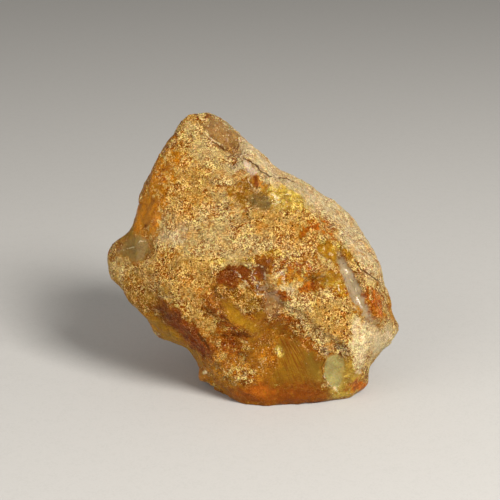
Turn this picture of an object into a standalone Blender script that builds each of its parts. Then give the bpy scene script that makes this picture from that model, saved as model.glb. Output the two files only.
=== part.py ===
"""A lump of raw copal: one leaning, blunt-peaked stone of tree resin with a weathered rind.

The lump is one solid. It is written as an implicit body: an outline, cleaved faces that cut the stone
down in front and behind, chips, hollows and a groove taken out of its skin, and steps where it broke.
Every direction of a ball is then followed outwards to where that body ends, which gives the surface.

Places are in millimetres in the lump's own frame, as someone sees it from the front, looking a little
down on it: across to the right, up, and out towards them, from a point deep inside the stone.
"""

from math import cos, pi, radians, sin
from typing import NamedTuple

import bmesh
import bpy
import numpy as np
from mathutils import Matrix, Vector, noise

NAME = "copal_lump"
MM = 0.001

# Driving dimensions, in millimetres and degrees.
VIEW_TILT = radians(18.0)  # how far down the lump's own frame looks
CENTRE_HEIGHT = 16.8  # of the point that places are given from, above the resting face
LONGEST_RAY = 30.0  # farther from that point than any of the surface
RIM_DEPTH = 1.5  # how far out, towards the viewer, the stone is widest
RIM_UNBENT = 5.0  # within this of the widest place, the outline keeps its exact course
RIM_TAPER = 0.012  # how fast it narrows in front of that and behind it
RIM_ROUNDING = 1.2  # how softly the outline turns into the cleaved faces

# How far break lines wander and how deep the weather has cut, in millimetres, and at what scale.
SLOW_BEND, SLOW_BEND_SCALE = 0.9, 3.4
QUICK_BEND, QUICK_BEND_SCALE = 0.3, 11.0
WAVE_HEIGHT, WAVE_SCALE = 0.14, 0.22
WAVE_FADING, WAVE_FINENESS, WAVE_OCTAVES = 0.9, 2.1, 3  # how the finer waves on them follow
CELL_HEIGHT, CELL_SCALE = 0.18, 0.36
WEATHERED_AWAY = 0.05
NOISES_APART = (Vector((3.1, 0.7, 5.2)), Vector((9.4, 2.2, 1.3)), Vector((6.3, 8.5, 4.9)))

# How finely the surface is found and kept.
BALL_SUBDIVISIONS = 7
SOLID_TRIANGLES = 9400
RAY_STEPS = 60
HALVINGS = 14
OUTLINE_SAMPLES = 8  # between two points of the outline
SKIN_SEARCH_STEP = 0.05
SHARP_EDGE = radians(40.0)

COPAL_COLOR = (0.52, 0.30, 0.10, 1.0)
COPAL_ROUGHNESS = 0.55


class Facet(NamedTuple):
    """A cleaved face: the way it looks, its distance from the middle, how softly it meets the others."""

    looks: tuple
    distance: float
    rounding: float = 1.0


class Chip(NamedTuple):
    """A bit struck off the front: where, across and up; an ellipsoid's radii; its depth below the skin."""

    place: tuple
    radii: tuple
    depth: float
    rounding: float = 0.4


class Step(NamedTuple):
    """A break line in the front: walking from start to end, the skin stands higher on the left hand."""

    start: tuple
    end: tuple
    height: float
    width: float
    reach: float


class Groove(NamedTuple):
    """A round-bottomed channel in the front, along a line across and up."""

    start: tuple
    end: tuple
    radius: float
    depth: float
    rounding: float


# The stone's outline as someone in front of it sees it, going round from the peak by the left.
OUTLINE = (
    (-6.4, 21.0), (-8.4, 20.7), (-9.7, 19.9), (-10.9, 18.3), (-12.5, 16.0), (-14.6, 12.0), (-15.4, 10.5),
    (-16.5, 6.4), (-17.2, 4.6), (-17.8, 3.8), (-19.3, 2.8), (-20.0, 1.8), (-20.4, 0.7), (-20.3, -0.8),
    (-20.0, -2.2), (-18.9, -3.2), (-17.5, -4.6), (-15.5, -7.0), (-14.3, -9.1), (-13.9, -9.9), (-13.0, -10.6),
    (-10.4, -11.6), (-9.0, -12.5), (-7.9, -14.0), (-7.6, -14.9), (-7.8, -15.9), (-7.4, -16.6), (-6.4, -16.8),
    (-5.0, -17.9), (-2.9, -19.5), (-1.5, -19.9), (5.6, -19.7), (7.0, -19.3), (12.7, -19.1), (14.4, -18.2),
    (15.9, -17.1), (16.0, -14.8), (17.5, -13.0), (19.3, -11.2), (20.2, -9.9), (20.3, -8.8), (19.2, -6.7),
    (19.2, -5.6), (18.9, -4.1), (17.8, -2.6), (17.4, -0.2), (15.6, 3.8), (13.3, 7.0), (9.7, 9.5), (6.4, 11.6),
    (4.5, 12.5), (2.8, 13.3), (1.3, 14.4), (-0.1, 16.0), (-2.9, 18.9), (-4.6, 20.2),
)

FACETS = (
    # the broad face in front, in three planes that hardly differ, and its left flank
    Facet((-0.20, 0.30, 0.93), 11.2, 1.2),
    Facet((0.06, 0.17, 0.98), 11.6, 1.2),
    Facet((-0.62, 0.26, 0.74), 14.6, 1.2),
    Facet((-0.72, -0.20, 0.66), 16.6, 1.2),
    # the smooth band that looks up and right: beside the peak, and along the shoulder
    Facet((0.62, 0.66, 0.42), 12.8, 0.8),
    Facet((0.42, 0.78, 0.46), 14.2, 0.8),
    # the right-hand plateau and the side beyond it
    Facet((0.32, -0.04, 0.95), 12.2, 0.8),
    Facet((0.86, -0.06, 0.50), 18.2, 0.7),
    Facet((0.70, -0.48, 0.53), 20.0, 0.8),
    # below the break: the dark face under the left brow, the belly, and the foot
    Facet((-0.52, -0.62, 0.59), 15.6, 0.6),
    Facet((-0.24, -0.38, 0.89), 13.0, 0.8),
    Facet((0.10, -0.40, 0.91), 13.7, 0.9),
    Facet((0.42, -0.56, 0.71), 18.9, 0.8),
    # the back
    Facet((0.10, 0.22, -0.97), 12.4, 2.0),
    Facet((-0.58, 0.38, -0.72), 15.2, 2.0),
    Facet((0.62, 0.12, -0.78), 15.0, 2.0),
    Facet((-0.38, -0.42, -0.82), 13.6, 1.6),
    Facet((0.36, -0.50, -0.79), 16.4, 1.6),
    Facet((0.12, 0.84, -0.52), 18.4, 1.6),
    Facet((-0.88, -0.10, -0.46), 19.6, 1.6),
)

CHIPS = (
    Chip((-3.4, 17.6), (2.4, 3.4, 5.0), 0.6, 0.3),  # the smooth scar on the peak
    Chip((-0.9, 10.3), (3.0, 2.7, 2.4), 0.8, 0.4),  # the pit under the top edge
    Chip((0.8, 11.3), (1.2, 1.6, 1.8), 0.5, 0.3),  # the slit above it
    Chip((4.6, 9.4), (2.6, 1.5, 3.0), 0.6, 0.3),  # the bright flake scar beside it
    Chip((-2.3, -1.2), (3.3, 1.8, 2.4), 1.0, 0.3),  # the dark notch in the middle
    Chip((0.9, -2.2), (1.9, 3.0, 2.4), 1.1, 0.3),  # and its lower right half
    Chip((8.8, -3.0), (3.2, 2.0, 3.0), 0.7, 0.4),  # the red hollow on the plateau
    Chip((10.2, 2.6), (2.8, 2.0, 3.0), 0.5, 0.4),  # a dint above it
    Chip((3.2, -6.0), (1.3, 2.8, 2.4), 0.6, 0.3),  # the glossy chip at the plateau's corner
    Chip((4.0, -11.6), (5.6, 6.6, 8.0), 1.6, 0.5),  # the smooth scoop at the foot
    Chip((11.1, -15.0), (2.5, 4.2, 2.4), 0.6, 0.15),  # the clear oval chip beside it
    Chip((-15.6, 1.6), (2.8, 2.6, 6.0), 0.3, 0.4),  # the clear window on the left knob
    Chip((-4.4, 7.0), (6.5, 4.5, 9.0), 0.4, 0.8),  # broad, faint hollows in the main face
    Chip((-8.6, -2.4), (5.0, 3.4, 7.0), 0.4, 0.8),
    Chip((-1.8, -14.0), (3.0, 2.4, 4.0), 0.5, 0.5),
)

STEPS = (
    Step((1.4, -2.4), (12.6, -12.2), 1.8, 0.4, 3.4),  # the plateau stands over the scoop
    Step((-13.6, -4.9), (-6.8, -12.0), 1.5, 0.4, 3.0),  # the brow stands over the dark face
    Step((-6.8, -5.7), (1.2, -11.2), 0.9, 0.35, 2.4),  # a low break across the belly
    Step((-2.0, 14.6), (7.0, 9.2), -0.4, 0.35, 2.0),  # the cracked edge of the smooth band
    Step((-5.2, -0.4), (2.2, -0.2), 0.8, 0.3, 1.6),  # the upper lip of the dark notch
)

GROOVES = (
    # the glassy groove on the right, in three runs
    Groove((11.8, 0.2), (13.4, -2.6), 0.9, 0.45, 0.3),
    Groove((13.4, -2.6), (14.7, -6.4), 1.1, 0.55, 0.3),
    Groove((14.7, -6.4), (16.6, -9.4), 0.9, 0.4, 0.4),
)


def smooth_max(a, b, rounding):
    """The larger of two fields, with the corner between them eased over the rounding."""
    near = np.maximum(rounding - np.abs(a - b), 0.0)
    return np.maximum(a, b) + near * near / (4.0 * rounding)


def eased(share):
    """A share from 0 to 1, with its ends eased."""
    share = np.clip(share, 0.0, 1.0)
    return share * share * (3.0 - 2.0 * share)


def outline_curve():
    """The outline as turning angle and radius, read from a smooth closed curve through its points."""
    points = np.array(OUTLINE)
    before, after, later = np.roll(points, 1, 0), np.roll(points, -1, 0), np.roll(points, -2, 0)
    rows = []
    for t in np.arange(OUTLINE_SAMPLES) / OUTLINE_SAMPLES:
        rows.append(
            0.5 * (2 * points + (after - before) * t
                   + (2 * before - 5 * points + 4 * after - later) * t**2
                   + (3 * points - before - 3 * after + later) * t**3)
        )
    curve = np.stack(rows, axis=1).reshape(-1, 2)
    angles = np.arctan2(curve[:, 1], curve[:, 0])
    order = np.argsort(angles)
    return angles[order], np.hypot(curve[:, 0], curve[:, 1])[order]


def beyond_outline(points, bend, curve):
    """How far each point lies outside the outline, which narrows before and behind the widest place."""
    angles, radii = curve
    away = points[:, 2] - RIM_DEPTH
    points = points + bend * eased(np.abs(away) / RIM_UNBENT)[:, None]
    turned = np.arctan2(points[:, 1], points[:, 0])
    edge = np.interp(turned, angles, radii, period=2 * pi)
    return np.hypot(points[:, 0], points[:, 1]) - edge + RIM_TAPER * away * away


def beyond_facet(facet, points):
    """How far each point lies outside a facet."""
    looks = np.array(facet.looks) / np.linalg.norm(facet.looks)
    return points @ looks - facet.distance


def cleaved(points, bend, curve):
    """The stone with its outline and facets only: below zero inside, above zero outside."""
    bent = points + bend
    field = np.full(len(points), -LONGEST_RAY)
    for facet in FACETS:
        field = smooth_max(field, beyond_facet(facet, bent), facet.rounding)
    return smooth_max(field, beyond_outline(points, bend, curve), RIM_ROUNDING)


def skin_at(place, curve):
    """The point of the cleaved stone's front skin at this place across and up."""
    outs = np.arange(LONGEST_RAY, 0.0, -SKIN_SEARCH_STEP)
    line = np.column_stack([np.full_like(outs, place[0]), np.full_like(outs, place[1]), outs])
    return line[np.argmax(cleaved(line, 0.0 * line, curve) < 0.0)]


def beyond_ellipsoid(points, place, radii):
    """Roughly how far each point lies outside an ellipsoid."""
    away = np.linalg.norm((points - place) / radii, axis=1)
    return (away - 1.0) * min(radii)


def beyond_bar(points, start, end, radius):
    """How far each point lies outside a round bar from start to end."""
    along = end - start
    share = np.clip((points - start) @ along / (along @ along), 0.0, 1.0)
    return np.linalg.norm(points - start - share[:, None] * along, axis=1) - radius


def step_height(step, points):
    """How much a step adds to the skin at each point."""
    start, end = np.array(step.start), np.array(step.end)
    length = np.linalg.norm(end - start)
    along = (end - start) / length
    away = points[:, :2] - start
    side = away[:, 1] * along[0] - away[:, 0] * along[1]
    from_ends = np.minimum(away @ along, length - away @ along)
    shown = eased(from_ends / step.reach + 0.5) * eased(points[:, 2] / step.reach)
    return 0.5 * step.height * np.tanh(side / step.width) * np.exp(-np.abs(side) / step.reach) * shown


class Stone:
    """The whole implicit body, with every chip and groove set on the skin."""

    def __init__(self):
        self.curve = outline_curve()
        self.chips = [(chip, skin_at(chip.place, self.curve)) for chip in CHIPS]
        self.grooves = [
            (groove, skin_at(groove.start, self.curve), skin_at(groove.end, self.curve))
            for groove in GROOVES
        ]

    def field(self, points, bend):
        """Below zero inside the stone, above zero outside. bend moves the faces and chips a little."""
        bent = points + bend
        field = cleaved(points, bend, self.curve)
        for step in STEPS:
            field = field - step_height(step, bent)
        for chip, skin in self.chips:
            middle = skin + (0.0, 0.0, chip.radii[2] - chip.depth)
            field = smooth_max(field, -beyond_ellipsoid(bent, middle, chip.radii), chip.rounding)
        for groove, start, end in self.grooves:
            lift = (0.0, 0.0, groove.radius - groove.depth)
            beyond = beyond_bar(bent, start + lift, end + lift, groove.radius)
            field = smooth_max(field, -beyond, groove.rounding)
        return field

    def reach(self, directions, bend):
        """How far the stone goes in each direction from its middle."""
        inner = np.zeros(len(directions))
        outer = np.full(len(directions), LONGEST_RAY)
        found = np.zeros(len(directions), bool)
        for far in LONGEST_RAY * np.arange(1, RAY_STEPS + 1) / RAY_STEPS:
            out = self.field(directions * far, bend) > 0.0
            outer[out & ~found] = far
            found |= out
            inner[~found] = far
        for _ in range(HALVINGS):
            middle = (inner + outer) / 2.0
            out = self.field(directions * middle[:, None], bend) > 0.0
            outer = np.where(out, middle, outer)
            inner = np.where(out, inner, middle)
        return (inner + outer) / 2.0


def wander(place):
    """Three unlike noises at one place, as a vector."""
    return Vector([noise.noise(place + apart) for apart in NOISES_APART])


def bend_of(direction):
    """How far break lines wander in this direction, so that no face or chip has a ruled edge."""
    slow, quick = wander(direction * SLOW_BEND_SCALE), wander(direction * QUICK_BEND_SCALE)
    return slow * SLOW_BEND + quick * QUICK_BEND


def weathering(place):
    """The slow waves and small cells that the weather leaves all over the skin."""
    start = place * WAVE_SCALE + NOISES_APART[0]
    waves = noise.fractal(start, WAVE_FADING, WAVE_FINENESS, WAVE_OCTAVES)
    nearest, next_nearest = noise.voronoi(place * CELL_SCALE + NOISES_APART[1])[0][:2]
    return WAVE_HEIGHT * waves + CELL_HEIGHT * (next_nearest - nearest) - WEATHERED_AWAY


def upright():
    """The turn from the lump's own frame to the upright one, with the way out facing -Y."""
    c, s = cos(VIEW_TILT), sin(VIEW_TILT)
    return Matrix(((1, 0, 0), (0, s, -c), (0, c, s)))


def make_skin():
    """The whole stone as a closed mesh, upright, in metres, with its middle above the origin."""
    shape = bmesh.new()
    bmesh.ops.create_icosphere(shape, subdivisions=BALL_SUBDIVISIONS, radius=1.0)
    directions = np.array([v.co.normalized() for v in shape.verts])
    bend = np.array([bend_of(v.co.normalized()) for v in shape.verts])
    reach = Stone().reach(directions, bend)
    turn = upright()
    for vert, direction, far in zip(shape.verts, directions, reach):
        place = Vector(direction * far)
        place += Vector(direction) * weathering(place)
        vert.co = (turn @ place + Vector((0.0, 0.0, CENTRE_HEIGHT))) * MM
    mesh = bpy.data.meshes.new(NAME)
    shape.to_mesh(mesh)
    shape.free()
    return mesh


def cut_flat(mesh):
    """Cuts off what lies below the surface that the lump rests on, and closes the cut with one flat face."""
    shape = bmesh.new()
    shape.from_mesh(mesh)
    everything = shape.verts[:] + shape.edges[:] + shape.faces[:]
    cut = bmesh.ops.bisect_plane(
        shape, geom=everything, plane_co=(0, 0, 0), plane_no=(0, 0, -1), clear_outer=True
    )
    rim = [e for e in cut["geom_cut"] if isinstance(e, bmesh.types.BMEdge)]
    bmesh.ops.contextual_create(shape, geom=rim)
    bmesh.ops.recalc_face_normals(shape, faces=shape.faces[:])
    shape.to_mesh(mesh)
    shape.free()


def centre_over_origin(mesh):
    """Moves the stone so that the middle of its box is over the origin."""
    places = np.array([v.co for v in mesh.vertices])
    middle = (places.min(axis=0) + places.max(axis=0)) / 2.0
    mesh.transform(Matrix.Translation((-middle[0], -middle[1], 0.0)))


def thinned(obj, triangles):
    """The object's mesh with about that many triangles, fewest where the skin is flattest."""
    thin = obj.modifiers.new("thin", "DECIMATE")
    thin.ratio = triangles / len(obj.data.polygons)
    graph = bpy.context.evaluated_depsgraph_get()
    mesh = bpy.data.meshes.new_from_object(obj.evaluated_get(graph))
    obj.modifiers.clear()
    return mesh


def copal_material():
    """Honey-coloured resin under a pale, dusty rind."""
    material = bpy.data.materials.new("copal")
    material.use_nodes = True
    shader = material.node_tree.nodes["Principled BSDF"]
    shader.inputs["Base Color"].default_value = COPAL_COLOR
    shader.inputs["Roughness"].default_value = COPAL_ROUGHNESS
    shader.inputs["Metallic"].default_value = 0.0
    return material


def main():
    for old in list(bpy.data.objects):
        bpy.data.objects.remove(old)
    collection = bpy.data.collections.new("raw_copal")
    bpy.context.scene.collection.children.link(collection)
    lump = bpy.data.objects.new(NAME, make_skin())
    collection.objects.link(lump)
    bpy.context.view_layer.update()
    lump.data = thinned(lump, SOLID_TRIANGLES)
    cut_flat(lump.data)
    centre_over_origin(lump.data)
    lump.data.materials.clear()
    lump.data.materials.append(copal_material())
    lump.data.shade_smooth()
    lump.data.set_sharp_from_angle(angle=SHARP_EDGE)


if __name__ == "__main__":
    main()
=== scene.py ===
"""A lump of raw copal, dressed: a cloudy, honey-coloured resin under a pale, rust-speckled rind.

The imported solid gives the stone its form. One piece takes its place: the same form with a fine skin,
into which grain, small facets and sunken breaks are worked. It carries the tints and the masks that its
one material reads, and that material adds the finest grain, the cracks and the streaks.

Lengths are in millimetres until a mesh or a light is made. A place on the stone is given in the stone's
own frame, as someone in front of it sees it, looking a little down: across to the right, up, and out.
"""

from __future__ import annotations

import logging
from dataclasses import dataclass, field
from enum import Enum
from functools import reduce
from math import atan, cos, radians, sin, tan

import bpy
import numpy as np
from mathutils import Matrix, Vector, noise

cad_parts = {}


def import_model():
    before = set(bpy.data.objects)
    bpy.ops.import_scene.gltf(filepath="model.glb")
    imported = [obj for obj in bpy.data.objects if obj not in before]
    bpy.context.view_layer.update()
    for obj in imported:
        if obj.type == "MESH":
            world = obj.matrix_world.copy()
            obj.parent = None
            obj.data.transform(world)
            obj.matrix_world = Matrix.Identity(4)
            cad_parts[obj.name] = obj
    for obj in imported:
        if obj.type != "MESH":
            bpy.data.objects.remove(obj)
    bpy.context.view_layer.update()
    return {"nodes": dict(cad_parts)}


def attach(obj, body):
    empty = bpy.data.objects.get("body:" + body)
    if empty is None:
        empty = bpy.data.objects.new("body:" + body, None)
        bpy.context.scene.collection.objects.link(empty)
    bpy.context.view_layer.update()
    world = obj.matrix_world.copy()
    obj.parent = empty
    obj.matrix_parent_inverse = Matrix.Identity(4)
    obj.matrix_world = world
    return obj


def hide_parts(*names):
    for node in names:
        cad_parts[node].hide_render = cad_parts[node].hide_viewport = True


log = logging.getLogger("copal")

MM = 0.001
SOLID = "copal_lump"

# The frame that places are given in: its middle in the upright frame, and how far it looks down.
STONE_MIDDLE = (0.035, -0.245, 16.8)
VIEW_TILT = radians(18.0)

# Where the eye is that those places are read from, in the stone's own frame.
EYE = (-0.6, 1.7, 194.4)

# How much weaker each finer layer of a noise in the mesh is.
NOISE_FADING = 0.9

# A small facet in the mesh: how steeply it tilts and how tall its step is, each with how many times finer
# than the facets its own noise is.
FACET_TILT, FACET_TILT_SCALE = 1.6, 3.7
FACET_STEP, FACET_STEP_SCALE = 0.5, 2.3

# The sum of a patch's two radii at which its edge is just as ragged as it says: a larger one's is less so.
RAGGED_FOR = 6.0

# How far round onto the other side a patch reaches, and over how much turning it fades out.
TURNED_AWAY, TURNING = 0.25, 0.35

# How far apart three noises are read, so that they differ.
UNLIKE = (Vector((3.1, 0.7, 5.2)), Vector((9.4, 2.2, 1.3)), Vector((6.3, 8.5, 4.9)))


class Tint(Enum):
    """The colours of resin and rind as the eye sees them, and of painted shade and highlights."""

    CREAM = "cbb478"
    PALE = "cdbd94"
    STONE = "9a8862"
    # chalk white, also of the painted glints and of painted highlights along edges
    CHALK = "f8e6b4"
    PEARL = "e4ceb0"
    WHEAT = "c8a04e"
    TAN = "b68a36"
    GOLD = "b6860c"
    STRAW = "bc9a34"
    MARIGOLD = "e09c20"
    YELLOW = "d6b84a"
    HONEY = "986c10"
    ORANGE = "ca8412"
    EMBER = "b4600a"
    FLAME = "d0700e"
    AMBER = "8c4604"
    RUST = "884a06"
    # dark brown, of cracks and of the painted shade in hollows and creases
    DARK_BROWN = "562a04"
    SPECK = "5a2c06"
    UMBER = "984402"
    RED_BROWN = "823a06"
    MAUVE = "9e7c4a"
    LILAC = "ae9272"
    ASH = "aa9a7c"
    OLIVE = "86681c"
    GREEN_GOLD = "aba062"
    GREY_OLIVE = "86703a"
    GLOW = "f5b840"
    LUSTRE = "ffd480"
    # the painted shade of the grain's low points, and the painted highlight on its high points, partly pale
    # crumbs
    GRAIN_SHADE = "b4742c"
    GRAIN_HIGHLIGHT = "d0bc86"

    def linear(self) -> np.ndarray:
        """The tint as linear red, green and blue."""
        seen = np.array([int(self.value[i : i + 2], 16) / 255.0 for i in (0, 2, 4)])
        return np.where(seen <= 0.04045, seen / 12.92, ((seen + 0.055) / 1.055) ** 2.4)

    def rgba(self) -> tuple[float, float, float, float]:
        """The tint as a shader socket takes it."""
        red, green, blue = self.linear()
        return (float(red), float(green), float(blue), 1.0)


# What an input of a shader node is given: a socket to join, a tint, or a plain value.
Given = bpy.types.NodeSocket | Tint | float | tuple[float, ...] | Vector


class Side(Enum):
    """The way a stretch of skin faces."""

    FRONT = 1
    BACK = -1


@dataclass(frozen=True)
class Patch:
    """A stretch of skin with a look of its own: an ellipse with a ragged edge.

    Its place and radii are in millimetres, and its turn is in degrees, anticlockwise from across. Its
    crust is the share of it that the rind covers, and its resin is what shows elsewhere. The rest are
    shares too: how glossy, dotted with dirt, streaked, sparkling, grainy and calm it is, where the skin
    of a calm one is smoothed. A sparkling one has painted glints and small facets in its relief, and a
    grainy one painted shade and highlights in its grain. Its relief is that of the plain skin times how
    rugged it is.
    """

    name: str
    place: tuple[float, float]
    radii: tuple[float, float]
    turn: float
    resin: Tint
    crust: float
    rind: Tint | None = None
    gloss: float = 0.0
    sunk: float = 0.0
    edge: float = 0.9
    ragged: float = 0.22
    speck: float = 0.4
    streak: float = 0.0
    glint: float = 0.1
    grain: float = 1.0
    rugged: float = 1.0
    calm: float = 0.0
    side: Side = Side.FRONT


# scoop_light and the patches named glint or spark are painted glints, put into the colour
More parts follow.
